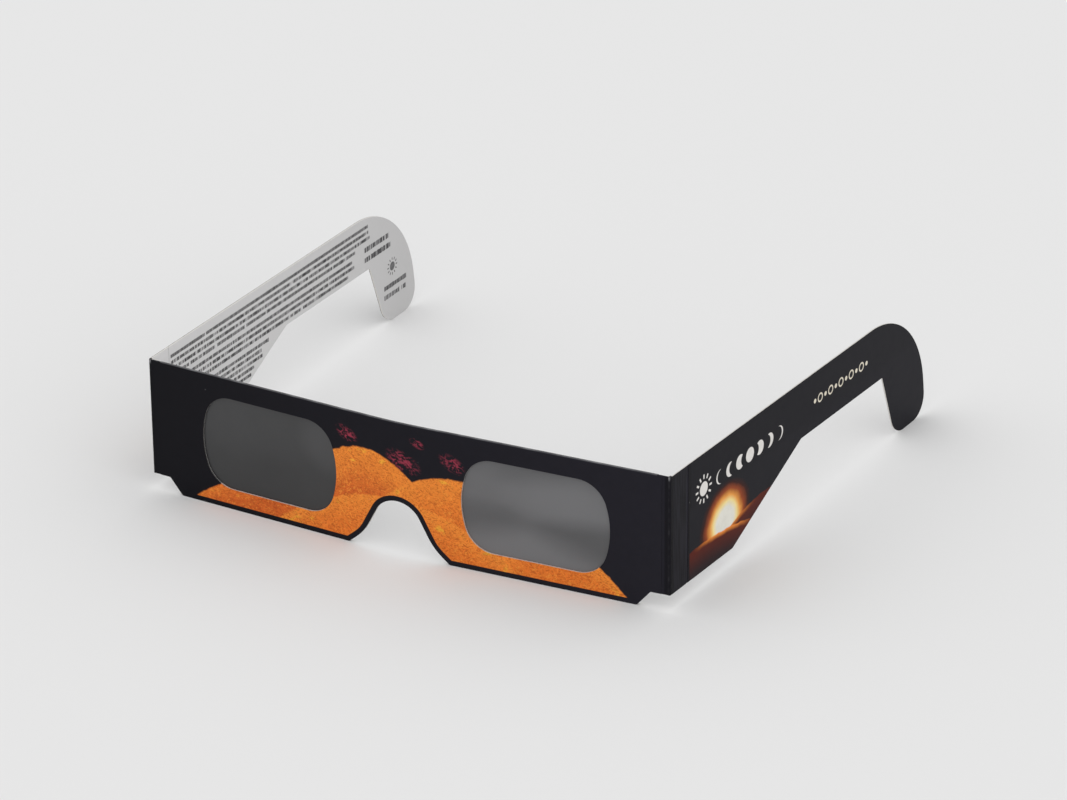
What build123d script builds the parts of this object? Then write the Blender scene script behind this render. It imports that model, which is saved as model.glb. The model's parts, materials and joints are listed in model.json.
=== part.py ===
from build123d import *
import math
import os

# Cardboard viewing glasses. Lengths are in millimetres and angles in degrees. X runs to the wearer's left,
# Y from the printed outer face back to the ears, and Z up. Left and right are the wearer's.
# Heights are measured from the front's lower edge until the whole pair is stood on the table.

# Card and film
CARD = 0.45
FILM = 0.1
SCORE_DEPTH = 0.08
CREASE_GAP = 0.05
CUT_CORNER = 0.7
OVERRUN = 5.0

# Front
CREASE_SPACING = 139.2
FRONT_HEIGHT = 34.2
SWEEP = 2.9
BRIDGE_RADIUS = 120.0
STEP_HEIGHT = 4.1
STEP_LENGTH = 4.6
STEP_SLOPE_LENGTH = 3.5
ARCH_HALF_WIDTH = 13.6
ARCH_HEIGHT = 13.8
ARCH_RADIUS = 6.6
ARCH_FLANK_ANGLE = 62.0
ARCH_FOOT_ANGLE = 40.0
ARCH_KNEE_RADIUS = 15.0

# Windows, filters and the folded inner ply
WINDOW_FROM_MIDDLE = 16.8
WINDOW_FROM_CREASE = 14.8
WINDOW_SILL = 5.2
WINDOW_HEAD = 5.0
WINDOW_CORNER_RADIUS = 7.6
WINDOW_END_RADIUS = 22.5
FILM_MARGIN = 2.6
FOLD_SETBACK = 3.0
CREASE_STRIP = 1.8

# Temples
STRIP_LENGTH = 7.5
SCORE_STRIP = 0.8
HEEL_LENGTH = 28.0
TAPER_LENGTH = 32.0
ARM_WIDTH = 14.8
ARM_LENGTH = 100.2
HOOK_TOP_REACH = 18.3
HOOK_BACK_REACH = 22.8
HOOK_BACK_DROP = 18.2
HOOK_TIP_REACH = 7.2
HOOK_TIP_DROP = 18.6
HOOK_TOP_RADIUS = 27.8
HOOK_BACK_RADIUS = 5.3
HOOK_TIP_RADIUS = 6.6

# How far each temple is folded from straight out in the photo, and the steepest lean that is tried
LEFT_FOLD = 83.1
RIGHT_FOLD = 88.2
STEEPEST_LEAN = 15.0

# Sizes that follow from the ones above
HALF = CREASE_SPACING / 2
STACK = 2 * CARD + FILM
SWEEP_SINE = math.sin(math.radians(SWEEP))
SWEEP_COSINE = math.cos(math.radians(SWEEP))
BOW_DEPTH = HALF * SWEEP_SINE + STACK + OVERRUN
FOLD_REACH = HALF - FOLD_SETBACK
PLY_TOP = FRONT_HEIGHT - STACK / 2

# The most of a side that the roundings at its two ends may take up
ROUNDING_SHARE = 0.99


def fitted_radii(points, radii):
    """The radii, cut down where the roundings at both ends of a side would meet."""
    count = len(points)
    cuts = []
    for i, (x, y) in enumerate(points):
        back_x, back_y = points[i - 1]
        next_x, next_y = points[(i + 1) % count]
        turn = math.atan2(next_y - y, next_x - x) - math.atan2(y - back_y, x - back_x)
        turn = abs(math.remainder(turn, math.tau))
        cuts.append(radii[i] * math.tan(turn / 2))
    fitted = []
    for i in range(count):
        after = (i + 1) % count
        back = ROUNDING_SHARE * math.dist(points[i], points[i - 1])
        ahead = ROUNDING_SHARE * math.dist(points[i], points[after])
        room = min(back / max(cuts[i] + cuts[i - 1], back), ahead / max(cuts[i] + cuts[after], ahead))
        fitted.append(radii[i] * room)
    return fitted


def rounded_face(points, radii):
    """A flat face inside a loop of straight sides whose corners are rounded."""
    return make_face(FilletPolyline(*points, radius=fitted_radii(points, radii), close=True).edges())


def block(x_span, y_span, z_span):
    """A box between two places on each axis."""
    spans = (x_span, y_span, z_span)
    middle = [(low + high) / 2 for low, high in spans]
    return Pos(*middle) * Box(*[high - low for low, high in spans])


def upright(radius, low, high):
    """A round bar that stands on its axis at the frame's origin."""
    return Pos(0, 0, (low + high) / 2) * Cylinder(radius, high - low)


def through_front(face):
    """A cutting body with the face's outline, seen from ahead, that goes right through the bowed front."""
    return extrude(Plane.XZ * face, BOW_DEPTH, both=True)


def behind(reach, depth):
    """The plan place that far along the left half of the bowed front and that deep behind its outer face."""
    return (reach * SWEEP_COSINE - depth * SWEEP_SINE, reach * SWEEP_SINE + depth * SWEEP_COSINE)


def bowed_plate(near, far, reach, low, high):
    """A plate that follows the front's bow, between two depths behind the outer face and two heights."""
    near_x, near_y = behind(reach, near)
    far_x, far_y = behind(reach, far)
    points = [(-near_x, near_y), (0, near / SWEEP_COSINE), (near_x, near_y),
              (far_x, far_y), (0, far / SWEEP_COSINE), (-far_x, far_y)]
    radii = [0, BRIDGE_RADIUS - near, 0, 0, BRIDGE_RADIUS - far, 0]
    return Pos(0, 0, low) * extrude(rounded_face(points, radii), high - low, dir=(0, 0, 1))


def front_outline():
    """The front seen from ahead: a step at each lower corner and the nose arch."""
    flank = math.tan(math.radians(ARCH_FLANK_ANGLE))
    foot = math.tan(math.radians(ARCH_FOOT_ANGLE))
    apex = ARCH_HEIGHT - ARCH_RADIUS + ARCH_RADIUS / math.cos(math.radians(ARCH_FLANK_ANGLE))
    knee = (apex - foot * ARCH_HALF_WIDTH) / (flank - foot)
    end = HALF + OVERRUN
    lower_end = HALF - STEP_LENGTH - STEP_SLOPE_LENGTH
    half = [(end, FRONT_HEIGHT), (end, STEP_HEIGHT), (HALF - STEP_LENGTH, STEP_HEIGHT), (lower_end, 0),
            (ARCH_HALF_WIDTH, 0), (knee, apex - knee * flank)]
    radii = [0, 0, CUT_CORNER, CUT_CORNER, CUT_CORNER, ARCH_KNEE_RADIUS]
    points = half + [(0, apex)] + [(-x, z) for x, z in reversed(half)]
    return rounded_face(points, radii + [ARCH_RADIUS] + radii[::-1])


def window_outline(side):
    """One window: straight head and sill, gently bowed ends and large corners."""
    start, end = WINDOW_FROM_MIDDLE, HALF - WINDOW_FROM_CREASE
    middle, half_length = (start + end) / 2, (end - start) / 2
    head, sill = FRONT_HEIGHT - WINDOW_HEAD, WINDOW_SILL
    half_height, level = (head - sill) / 2, (head + sill) / 2
    bow = WINDOW_END_RADIUS - WINDOW_CORNER_RADIUS
    slope = math.asin(min((half_height - WINDOW_CORNER_RADIUS) / bow, ROUNDING_SHARE))
    tip = half_length - WINDOW_END_RADIUS + WINDOW_END_RADIUS / math.cos(slope)
    flat = tip - half_height * math.tan(slope)
    points = [(tip, level), (flat, head), (-flat, head), (-tip, level), (-flat, sill), (flat, sill)]
    corners = [WINDOW_CORNER_RADIUS, WINDOW_CORNER_RADIUS]
    radii = [WINDOW_END_RADIUS] + corners + [WINDOW_END_RADIUS] + corners
    return rounded_face([(side * (middle + x), z) for x, z in points], radii)


def film_patch(side):
    """The rectangle that one piece of film was cut to."""
    start = WINDOW_FROM_MIDDLE - FILM_MARGIN
    end = HALF - WINDOW_FROM_CREASE + FILM_MARGIN
    low, high = WINDOW_SILL - FILM_MARGIN, FRONT_HEIGHT - WINDOW_HEAD + FILM_MARGIN
    return Pos(side * (start + end) / 2, (low + high) / 2) * Rectangle(end - start, high - low)


def card_front():
    """The front's outer ply, whose top lies under the fold except at its two ends."""
    ply = bowed_plate(0, CARD, HALF - CREASE_STRIP, 0, FRONT_HEIGHT) & through_front(front_outline())
    under_fold = bowed_plate(-OVERRUN, STACK, FOLD_REACH, PLY_TOP, FRONT_HEIGHT + OVERRUN)
    return ply - under_fold - windows()


def card_back():
    """The inner ply, folded down behind the films and short of both corner creases."""
    ply = bowed_plate(CARD + FILM, STACK, FOLD_REACH, 0, PLY_TOP)
    return (ply & through_front(front_outline())) - windows()


def windows():
    """Both windows as one cutting body."""
    return through_front(window_outline(-1)) + through_front(window_outline(1))


def folded_top():
    """The half-round fold that joins the two plies along the front's top edge."""
    end_x, end_y = behind(FOLD_REACH, STACK / 2)
    bridge = (0, STACK / 2 / SWEEP_COSINE)
    path = FilletPolyline((-end_x, end_y), bridge, (end_x, end_y), radius=[BRIDGE_RADIUS - STACK / 2])
    half_round = Circle(STACK / 2) & Pos(STACK / 4, 0) * Rectangle(STACK / 2, STACK)
    start = Plane(origin=path @ 0, x_dir=(0, 0, 1), z_dir=path % 0)
    return Pos(0, 0, PLY_TOP) * sweep(start * half_round, path=path.edges())


def film(side):
    """One piece of filter film, held all round between the plies."""
    layer = bowed_plate(CARD, CARD + FILM, FOLD_REACH, 0, PLY_TOP)
    return layer & through_front(film_patch(side)) & through_front(front_outline())


def glue():
    """The adhesive between the plies, as thick as the films that it surrounds."""
    layer = bowed_plate(CARD, CARD + FILM, FOLD_REACH, 0, PLY_TOP) & through_front(front_outline())
    return layer - through_front(film_patch(-1)) - through_front(film_patch(1))


def temple_outline():
    """The temple laid out flat from the corner crease: heel, taper, arm and ear hook."""
    arm_edge = FRONT_HEIGHT - ARM_WIDTH
    points = [(0, FRONT_HEIGHT),
              (ARM_LENGTH + HOOK_TOP_REACH, FRONT_HEIGHT),
              (ARM_LENGTH + HOOK_BACK_REACH, arm_edge - HOOK_BACK_DROP),
              (ARM_LENGTH + HOOK_TIP_REACH, arm_edge - HOOK_TIP_DROP),
              (ARM_LENGTH, arm_edge),
              (HEEL_LENGTH + TAPER_LENGTH, arm_edge),
              (HEEL_LENGTH, STEP_HEIGHT),
              (0, STEP_HEIGHT)]
    radii = [0, HOOK_TOP_RADIUS, HOOK_BACK_RADIUS, HOOK_TIP_RADIUS, CUT_CORNER, CUT_CORNER, CUT_CORNER, 0]
    return rounded_face(points, radii)


def temple_card(near, far, start, end):
    """The temple's outline between two depths outside the inner face and two places along it."""
    card = Pos(0, -near, 0) * extrude(Plane.XZ * temple_outline(), far - near)
    return card & block((start, end), (-far, -near), (-OVERRUN, FRONT_HEIGHT + OVERRUN))


def turning_room(radius):
    """What a panel leaves free round the crease bead that it turns on."""
    return upright(radius + CREASE_GAP, -OVERRUN, FRONT_HEIGHT + OVERRUN)


def corner_crease():
    """The pressed strip at the end of the front and the bead of the corner fold, about the fold's axis."""
    pressed = block((-CREASE_STRIP, 0), (SCORE_DEPTH - CARD, 0), (STEP_HEIGHT, FRONT_HEIGHT))
    return pressed + upright(CARD, STEP_HEIGHT, FRONT_HEIGHT)


def hinge_strip():
    """The band of the temple between the corner crease and the second score."""
    return temple_card(0, CARD, 0, STRIP_LENGTH - SCORE_STRIP) - turning_room(CARD)


def at_score():
    """The place of the second score's axis, half way through the card."""
    return Pos(STRIP_LENGTH, -CARD / 2, 0)


def second_score():
    """The pressed line and bead where the temple bends again."""
    pressed = temple_card(0, CARD - SCORE_DEPTH, STRIP_LENGTH - SCORE_STRIP, STRIP_LENGTH)
    bead = at_score() * upright(CARD / 2, 0, FRONT_HEIGHT)
    return pressed + (bead & temple_card(0, CARD, 0, STRIP_LENGTH + CARD))


def ear_piece():
    """The temple behind the second score, with its hook."""
    reach = ARM_LENGTH + HOOK_BACK_REACH + OVERRUN
    return temple_card(0, CARD, STRIP_LENGTH, reach) - at_score() * turning_room(CARD / 2)


def left_temple(fold):
    """The pieces of the left temple by name, with the temple folded that far from straight out."""
    corner = Pos(*behind(HALF, CARD)) * Rot(0, 0, SWEEP)
    side = corner * Rot(0, 0, fold)
    return {"corner_crease": corner * corner_crease(), "hinge_strip": side * hinge_strip(),
            "temple_crease": side * second_score(), "temple": side * ear_piece()}


def lowest(pieces, lean):
    """The height of the lowest point of some pieces once the pair leans back."""
    return min((Rot(-lean, 0, 0) * piece).bounding_box().min.Z for piece in pieces)


def resting_lean(front, temples):
    """How far the pair leans back until its hooks reach as low as the front's lower edge."""
    low, high = 0, STEEPEST_LEAN
    while high - low > STEEPEST_LEAN / 2**20:
        middle = (low + high) / 2
        if lowest(temples, middle) > lowest(front, middle):
            low = middle
        else:
            high = middle
    return (low + high) / 2


def glasses():
    """Every piece by name, stood on its lower edge and hooks with the origin under its middle."""
    pieces = {"front_panel": card_front(), "back_panel": card_back(), "top_fold": folded_top(),
              "glue_layer": glue(), "left_filter": film(1), "right_filter": film(-1)}
    for name, piece in left_temple(LEFT_FOLD).items():
        pieces["left_" + name] = piece
    for name, piece in left_temple(RIGHT_FOLD).items():
        pieces["right_" + name] = mirror(piece, about=Plane.YZ)
    lean = resting_lean([pieces["front_panel"]], [pieces["left_temple"], pieces["right_temple"]])
    leaning = {name: Rot(-lean, 0, 0) * piece for name, piece in pieces.items()}
    box = Compound(children=list(leaning.values())).bounding_box()
    stand = Pos(-box.center().X, -box.center().Y, -box.min.Z) * Rot(-lean, 0, 0)
    print("leans back", round(lean, 4), "degrees and stands at", stand.position)
    return stand, pieces


os.makedirs("parts", exist_ok=True)
placing, parts = glasses()
for node, solid in parts.items():
    export_step(placing * solid, f"parts/{node}.step")
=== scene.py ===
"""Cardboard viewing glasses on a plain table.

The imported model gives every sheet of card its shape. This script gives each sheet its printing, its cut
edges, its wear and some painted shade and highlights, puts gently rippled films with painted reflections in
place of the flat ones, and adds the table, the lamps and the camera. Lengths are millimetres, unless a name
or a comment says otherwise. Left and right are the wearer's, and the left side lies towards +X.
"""
import json
import logging
import math
from dataclasses import dataclass
from enum import Enum
from functools import reduce
from typing import Any, Callable, Mapping, Optional, Sequence, Union

import bpy
from mathutils import Matrix, Vector


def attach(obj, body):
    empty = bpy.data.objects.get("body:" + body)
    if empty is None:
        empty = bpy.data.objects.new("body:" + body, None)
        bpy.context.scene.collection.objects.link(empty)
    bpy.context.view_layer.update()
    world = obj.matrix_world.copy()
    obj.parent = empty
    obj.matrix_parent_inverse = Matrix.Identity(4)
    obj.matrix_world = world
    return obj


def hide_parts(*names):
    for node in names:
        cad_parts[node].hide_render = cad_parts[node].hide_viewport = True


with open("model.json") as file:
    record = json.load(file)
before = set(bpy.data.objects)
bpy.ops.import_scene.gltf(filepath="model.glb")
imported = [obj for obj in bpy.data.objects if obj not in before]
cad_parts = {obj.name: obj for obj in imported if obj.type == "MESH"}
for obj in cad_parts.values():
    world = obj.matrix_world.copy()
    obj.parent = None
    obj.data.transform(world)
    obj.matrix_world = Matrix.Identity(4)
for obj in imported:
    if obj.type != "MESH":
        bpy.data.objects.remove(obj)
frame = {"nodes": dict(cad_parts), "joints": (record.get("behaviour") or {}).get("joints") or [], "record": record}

log = logging.getLogger("glasses")

METRE = 1000.0
Colour = tuple[float, float, float, float]


def ink(red: int, green: int, blue: int) -> Colour:
    """Turns a colour as a screen shows it into the linear one that shaders use.

    Args:
        red: Red from 0 to 255.
        green: Green from 0 to 255.
        blue: Blue from 0 to 255.

    Returns:
        The linear colour with full alpha.
    """
    def linear(value: int) -> float:
        """One channel on the linear scale."""
        share = value / 255
        return share / 12.92 if share <= 0.04045 else ((share + 0.055) / 1.055) ** 2.4
    return (linear(red), linear(green), linear(blue), 1.0)


def listed(rows: Sequence[Mapping[str, Any]], name: str, key: str = "pos_m") -> Vector:
    """A vector out of the model's list of joints or of mounts.

    Args:
        rows: The list.
        name: The joint's or mount's name.
        key: Which of its vectors.

    Returns:
        The vector.
    """
    return Vector(next(row[key] for row in rows if row["name"] == name))


class Side(Enum):
    """The two sides of the pair, with the direction of X in which each lies."""

    LEFT = 1
    RIGHT = -1

    @property
    def word(self) -> str:
        """The side's name as node names have it."""
        return self.name.lower()


@dataclass(frozen=True)
class Placement:
    """A set of axes in the model: where it starts, and the directions along, through and up.

    Attributes:
        origin: The start, in metres.
        along: The unit direction in which the first coordinate grows.
        through: The unit direction in which the second coordinate grows.
        up: The unit direction in which the third coordinate grows.
    """

    origin: Vector
    along: Vector
    through: Vector
    up: Vector

    @property
    def hand(self) -> int:
        """1 if the axes are right-handed, and otherwise -1."""
        return 1 if self.along.cross(self.through).dot(self.up) > 0 else -1

    @property
    def turn(self) -> tuple[float, float, float]:
        """The angles of the axes once the second is turned to make them right-handed."""
        axes = Matrix((self.along, self.through * self.hand, self.up)).transposed()
        return tuple(axes.to_euler())

    @property
    def scale(self) -> tuple[float, float, float]:
        """The scale that makes each coordinate count millimetres the right way."""
        return (1 / METRE, self.hand / METRE, 1 / METRE)

    def matrix(self) -> Matrix:
        """The transform from millimetres along the axes to metres in the model."""
        axes = Matrix((self.along, self.through, self.up)).transposed().to_4x4()
        return Matrix.Translation(self.origin) @ axes @ Matrix.Scale(1 / METRE, 4)


def arithmetic(operation: str, swapped: bool = False) -> Callable[["Wire", "Value"], "Wire"]:
    """Makes a method of Wire that adds one Math node between it and another value.

    Args:
        operation: The Math node's operation.
        swapped: Whether the other value comes first.

    Returns:
        The method.
    """
    def method(self: "Wire", other: "Value") -> "Wire":
        """The node's result."""
        return self.math(operation, other, self) if swapped else self.math(operation, self, other)
    return method


class Wire:
    """A value socket that adds Math nodes where it is used in a Python expression."""

    def __init__(self, shading: "Shading", socket: bpy.types.NodeSocket) -> None:
        """Wraps a socket of a material.

        Args:
            shading: The material that the socket belongs to.
            socket: The output that carries the value.
        """
        self.shading = shading
        self.socket = socket

    def math(self, operation: str, *values: "Value") -> "Wire":
        """Adds one Math node.

        Args:
            operation: The Math node's operation.
            values: What goes into its sockets, in order.

        Returns:
            The result.
        """
        node = self.shading.node("ShaderNodeMath", {"operation": operation}, dict(enumerate(values)))
        return Wire(self.shading, node.outputs[0])

    __add__, __radd__ = arithmetic("ADD"), arithmetic("ADD", True)
    __sub__, __rsub__ = arithmetic("SUBTRACT"), arithmetic("SUBTRACT", True)
    __mul__, __rmul__ = arithmetic("MULTIPLY"), arithmetic("MULTIPLY", True)
    __truediv__, __pow__ = arithmetic("DIVIDE"), arithmetic("POWER")
    least, most = arithmetic("MINIMUM"), arithmetic("MAXIMUM")

    def __abs__(self) -> "Wire":
        """This without its sign."""
        return self.math("ABSOLUTE", self)

    def whole(self) -> "Wire":
        """The nearest whole number."""
        return self.math("ROUND", self)

    def above(self, low: float, high: float) -> "Wire":
        """Rises smoothly from 0 to 1 as this goes from low to high.

        Args:
            low: Where the rise starts. It may lie above high, and then the rise is a fall.
            high: Where the rise ends.

        Returns:
            The mask.
        """
        node = self.shading.node("ShaderNodeMapRange", {"interpolation_type": "SMOOTHSTEP"},
                                 {"Value": self, "From Min": min(low, high), "From Max": max(low, high)})
        rise = Wire(self.shading, node.outputs[0])
        return rise if low < high else 1 - rise

    def under(self, limit: float, soft: float) -> "Wire":
        """1 below a limit and 0 above it, with a soft step."""
        return self.above(limit + soft, limit - soft)

    def within(self, low: float, high: float, soft: float) -> "Wire":
        """1 between two values and 0 outside them, with soft steps."""
        return self.above(low - soft, low + soft) * self.under(high, soft)

    def slant(self, other: "Wire") -> "Wire":
        """The distance to a place that lies this far aside and the other far up."""
        return (self * self + other * other) ** 0.5


Value = Union[float, Wire]
Link = Union[float, Sequence[float], Wire, bpy.types.NodeSocket]


def blended(mask: Value, under: Value, over: Value) -> Value:
    """One value over another where the mask is 1."""
    return mask * over + (1 - mask) * under


class Nodes:
    """The node tree of a material or a world, and the one way in which nodes are added to it."""

    def __init__(self, owner: Union[bpy.types.Material, bpy.types.World]) -> None:
        """Empties the owner's tree.

        Args:
            owner: The material or world.
        """
        owner.use_nodes = True
        self.tree = owner.node_tree
        self.tree.nodes.clear()

    def node(self, kind: str, settings: Optional[Mapping[str, Any]] = None,
             sockets: Optional[Mapping[Any, Link]] = None) -> bpy.types.Node:
        """Adds any node.

        Args:
            kind: The node's type.
            settings: The node's own properties, which are set first. The key stops gives a ramp's places
                and colours.
            sockets: The value or link of each input, by its name or number.

        Returns:
            The node.
        """
        node = self.tree.nodes.new(kind)
        for name, value in (settings or {}).items():
            if name == "stops":
                self.set_stops(node.color_ramp, value)
            else:
                setattr(node, name, value)
        for key, value in (sockets or {}).items():
            if isinstance(value, Wire):
                value = value.socket
            if isinstance(value, bpy.types.NodeSocket):
                self.tree.links.new(value, node.inputs[key])
            else:
                node.inputs[key].default_value = value
        return node

    @staticmethod
    def set_stops(ramp: bpy.types.ColorRamp, stops: Sequence[tuple[float, Colour]]) -> None:
        """Gives a ramp its stops.

        Args:
            ramp: The ramp.
            stops: The place and the colour of each stop, in rising order.
        """
        while len(ramp.elements) < len(stops):
            ramp.elements.new(1.0)
        for element, (place, colour) in zip(ramp.elements, stops):
            element.position = place
            element.color = colour


@dataclass(frozen=True)
class Grain:
    """A cloudy texture.

    Attributes:
        size: The width of a cloud in millimetres.
        detail: How many finer layers it has.
        warp: How much the clouds are drawn out.
    """

    size: float
    detail: float = 2.0
    warp: float = 0.0


class Shading(Nodes):
    """One material, with the textures and mixes that the pieces share."""

    def __init__(self, name: str) -> None:
        """Starts an empty material.

        Args:
            name: What the material is called.
        """
        self.material = bpy.data.materials.new(name)
        super().__init__(self.material)
        self.spot = self.node("ShaderNodeTexCoord").outputs["Object"]

    def coordinates(self, place: Placement) -> tuple[Wire, Wire, Wire]:
        """Measures places along a placement's axes.

        Args:
            place: The axes.

        Returns:
            The millimetres along, through and up them.
        """
        mapped = self.node("ShaderNodeMapping", {"vector_type": "TEXTURE"},
                           {"Vector": self.spot, "Location": place.origin, "Rotation": place.turn,
                            "Scale": place.scale})
        split = self.node("ShaderNodeSeparateXYZ", sockets={"Vector": mapped.outputs[0]})
        return tuple(Wire(self, output) for output in split.outputs)

    def grain(self, cloud: Grain, *where: Value) -> Wire:
        """A cloudy noise about one half.

        Args:
            cloud: The texture.
            where: Three coordinates in millimetres, or none for the model's own.

        Returns:
            The noise from 0 to 1.
        """
        vector, scale = self.spot, METRE / cloud.size
        if where:
            vector = self.node("ShaderNodeCombineXYZ", sockets=dict(enumerate(where))).outputs[0]
            scale = 1 / cloud.size
        sockets = {"Vector": vector, "Scale": scale, "Detail": cloud.detail, "Distortion": cloud.warp}
        return Wire(self, self.node("ShaderNodeTexNoise", None, sockets).outputs["Fac"])

    def specks(self, spacing: float, radius: float, share: float) -> Wire:
        """Small round spots strewn over the surface.

        Args:
            spacing: The mean distance between the places where a spot may be.
            radius: The radius of a spot.
            share: The share of the places that have one.

        Returns:
            A mask that is 1 in the spots.
        """
        node = self.node("ShaderNodeTexVoronoi", None, {"Vector": self.spot, "Scale": METRE / spacing})
        distance = Wire(self, node.outputs["Distance"]) * spacing
        split = self.node("ShaderNodeSeparateColor", sockets={0: node.outputs["Color"]})
        chosen = Wire(self, split.outputs[0]).above(share, share * 0.98)
        size = Wire(self, split.outputs[1]) * (radius * 0.7) + radius * 0.3
        return (distance / size).above(1.2, 0.7) * chosen

    def mix(self, mask: Value, under: Link, over: Link) -> bpy.types.NodeSocket:
        """One colour over another where the mask is 1."""
        node = self.node("ShaderNodeMix", {"data_type": "RGBA"}, {0: mask, 6: under, 7: over})
        return node.outputs[2]

    def red(self, colour: bpy.types.NodeSocket) -> Wire:
        """A colour's red channel."""
        return Wire(self, self.node("ShaderNodeSeparateColor", sockets={0: colour}).outputs[0])

    def shaded(self, colour: Link, brightness: Wire) -> bpy.types.NodeSocket:
        """Makes a colour lighter or darker.

        Args:
            colour: The colour.
            brightness: What it is multiplied by.

        Returns:
            The new colour.
        """
        plain = colour if isinstance(colour, bpy.types.NodeSocket) else colour[:3]
        sockets = {"Vector": plain, "Scale": brightness}
        return self.node("ShaderNodeVectorMath", {"operation": "SCALE"}, sockets).outputs[0]

    def surface(self, colour: Link, roughness: Value, relief: Wire, depth: float,
                gloss: float) -> bpy.types.Material:
        """Ends the material with its shader.

        Args:
            colour: The base colour.
            roughness: The roughness.
            relief: The height from 0 to 1 that the light picks out.
            depth: How deep that relief is, in millimetres.
            gloss: How strongly it mirrors.

        Returns:
            The finished material.
        """
        height = {"Height": relief, "Distance": depth / METRE, "Strength": 1.0}
        bump = self.node("ShaderNodeBump", None, height)
        sockets = {"Base Color": colour, "Roughness": roughness, "Normal": bump.outputs[0],
                   "Specular IOR Level": gloss}
        shader = self.node("ShaderNodeBsdfPrincipled", None, sockets)
        self.node("ShaderNodeOutputMaterial", None, {"Surface": shader.outputs[0]})
        return self.material


@dataclass(frozen=True)
class Card:
    """The die-cut card: its sizes, which are the model's, and the finish of its two faces.

    Attributes:
        thickness: The thickness of one ply.
        film: The thickness of the films between the two plies.
        skin: How deep the ink reaches into a cut edge.
        stain: How much of the printing's colour the front's cut edges have taken on.
        black: The coated black ink.
        painted_groove_shade: The same ink darkened by painted shade in a groove beside the corner.
        pale_mark_and_highlight: Cracked ink, chips and dust, and the painted highlight on the folded top.
        fine_print: The grey ink of the ruled lines.
        bare: The uncoated face.
        core: The cut edge.
        ink_gloss: How strongly the front's coated face mirrors.
        temple_gloss: The same on the temples, which are more rubbed.
        ink_roughness: How dull the coated face is.
        bare_roughness: How dull the uncoated face is.
        mottle: The soft clouds in both faces.
        fibre: The paper's fibres.
        torn: How the die has torn the ink at a cut edge.
        dust: The spacing, the radius and the share of the specks of dust.
        relief: The depth of the fibres and clouds.
    """

    thickness: float = 0.45
    film: float = 0.1
    skin: float = 0.09
    stain: float = 0.8
    black: Colour = ink(26, 25, 31)
    painted_groove_shade: Colour = ink(10, 10, 13)
    pale_mark_and_highlight: Colour = ink(150, 150, 152)
    fine_print: Colour = ink(46, 44, 47)
    bare: Colour = ink(209, 208, 208)
    core: Colour = ink(214, 211, 206)
    ink_gloss: float = 0.07
    temple_gloss: float = 0.055
    ink_roughness: float = 0.4
    bare_roughness: float = 0.78
    mottle: Grain = Grain(2.6, 3.0)
    fibre: Grain = Grain(0.22, 3.0)
    torn: Grain = Grain(0.9, 3.0)
    dust: tuple[float, float, float] = (4.6, 0.16, 0.45)
    relief: float = 0.012

    @property
    def stack(self) -> float:
        """The thickness of two plies and the film between them."""
        return 2 * self.thickness + self.film

    def ragged_skin(self, depth: Wire) -> Wire:
        """A mask of the ink seen from that depth below the printed face, torn a little by the die."""
        torn = (depth.shading.grain(self.torn) - 0.5) * 0.14
        return (depth + torn).under(self.skin, 0.03)

    def finished(self, shading: Shading, printed: Value, print_colour: Link, paper_colour: Link,
                 gloss: float) -> bpy.types.Material:
        """Ends a card material.

        Args:
            shading: The material so far.
            printed: A mask that is 1 on the coated face.
            print_colour: The printing's colour.
            paper_colour: The colour elsewhere.
            gloss: How strongly it mirrors.

        Returns:
            The finished material.
        """
        mottle = shading.grain(self.mottle)
        fibre = shading.grain(self.fibre)
        dust = shading.specks(*self.dust) * printed
        toned_print = shading.shaded(print_colour, 0.88 + mottle * 0.24)
        toned_paper = shading.shaded(paper_colour, 0.96 + mottle * 0.03 + fibre * 0.05)
        colour = shading.mix(printed, toned_paper, toned_print)
        colour = shading.mix(dust * 0.5, colour, self.pale_mark_and_highlight)
        roughness = blended(printed, self.bare_roughness, self.ink_roughness + mottle * 0.12 - 0.06)
        relief = blended(printed, fibre, fibre * 0.35 + mottle * 0.65)
        return shading.surface(colour, roughness, relief, self.relief, gloss)


@dataclass(frozen=True)
class Glue:
    """The dry adhesive that shows as a thin line between the plies.

    Attributes:
        tone: Its colour.
        streak: The streaks in it.
        roughness: How dull it is where it is smoothest.
        gloss: How strongly it mirrors.
        relief: The depth of the streaks.
    """

    tone: Colour = ink(203, 196, 178)
    streak: Grain = Grain(1.8, 3.0)
    roughness: float = 0.5
    gloss: float = 0.4
    relief: float = 0.02

    def material(self) -> bpy.types.Material:
        """Makes the glue's material.

        Returns:
            The material.
        """
        shading = Shading("dry_glue")
        streaks = shading.grain(self.streak)
        colour = shading.shaded(self.tone, 0.85 + streaks * 0.3)
        return shading.surface(colour, self.roughness + streaks * 0.2, streaks, self.relief, self.gloss)


@dataclass(frozen=True)
class Crest:
    """One wave of the printed band, seen from ahead.

    Attributes:
        middle: Where along the card its top is.
        height: The height of its top above the card's lower edge.
        reach: How far from its middle it comes down to that edge.
        lit: The colour just under its rim.
        deep: The colour far below it.
    """

    middle: float
    height: float
    reach: float
    lit: Colour
    deep: Colour

    def drop(self, along: Wire, up: Wire, ragged: Wire) -> Wire:
        """How far a place lies below the wave's rim, negative above it."""
        away = (along - self.middle) / self.reach
        return (1 - away * away) * self.height - up + ragged


AMBER = ink(236, 138, 55)
ORANGE = ink(226, 120, 47)
RUST = ink(208, 100, 42)
BRICK = ink(150, 58, 26)
EMBER = ink(88, 30, 18)
CRIMSON = ink(166, 60, 80)
GOLD = ink(244, 158, 66)
YELLOW = ink(240, 196, 62)
CREAM = ink(230, 228, 218)
PALE = ink(228, 225, 221)
GILT = ink(226, 218, 200)


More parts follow.
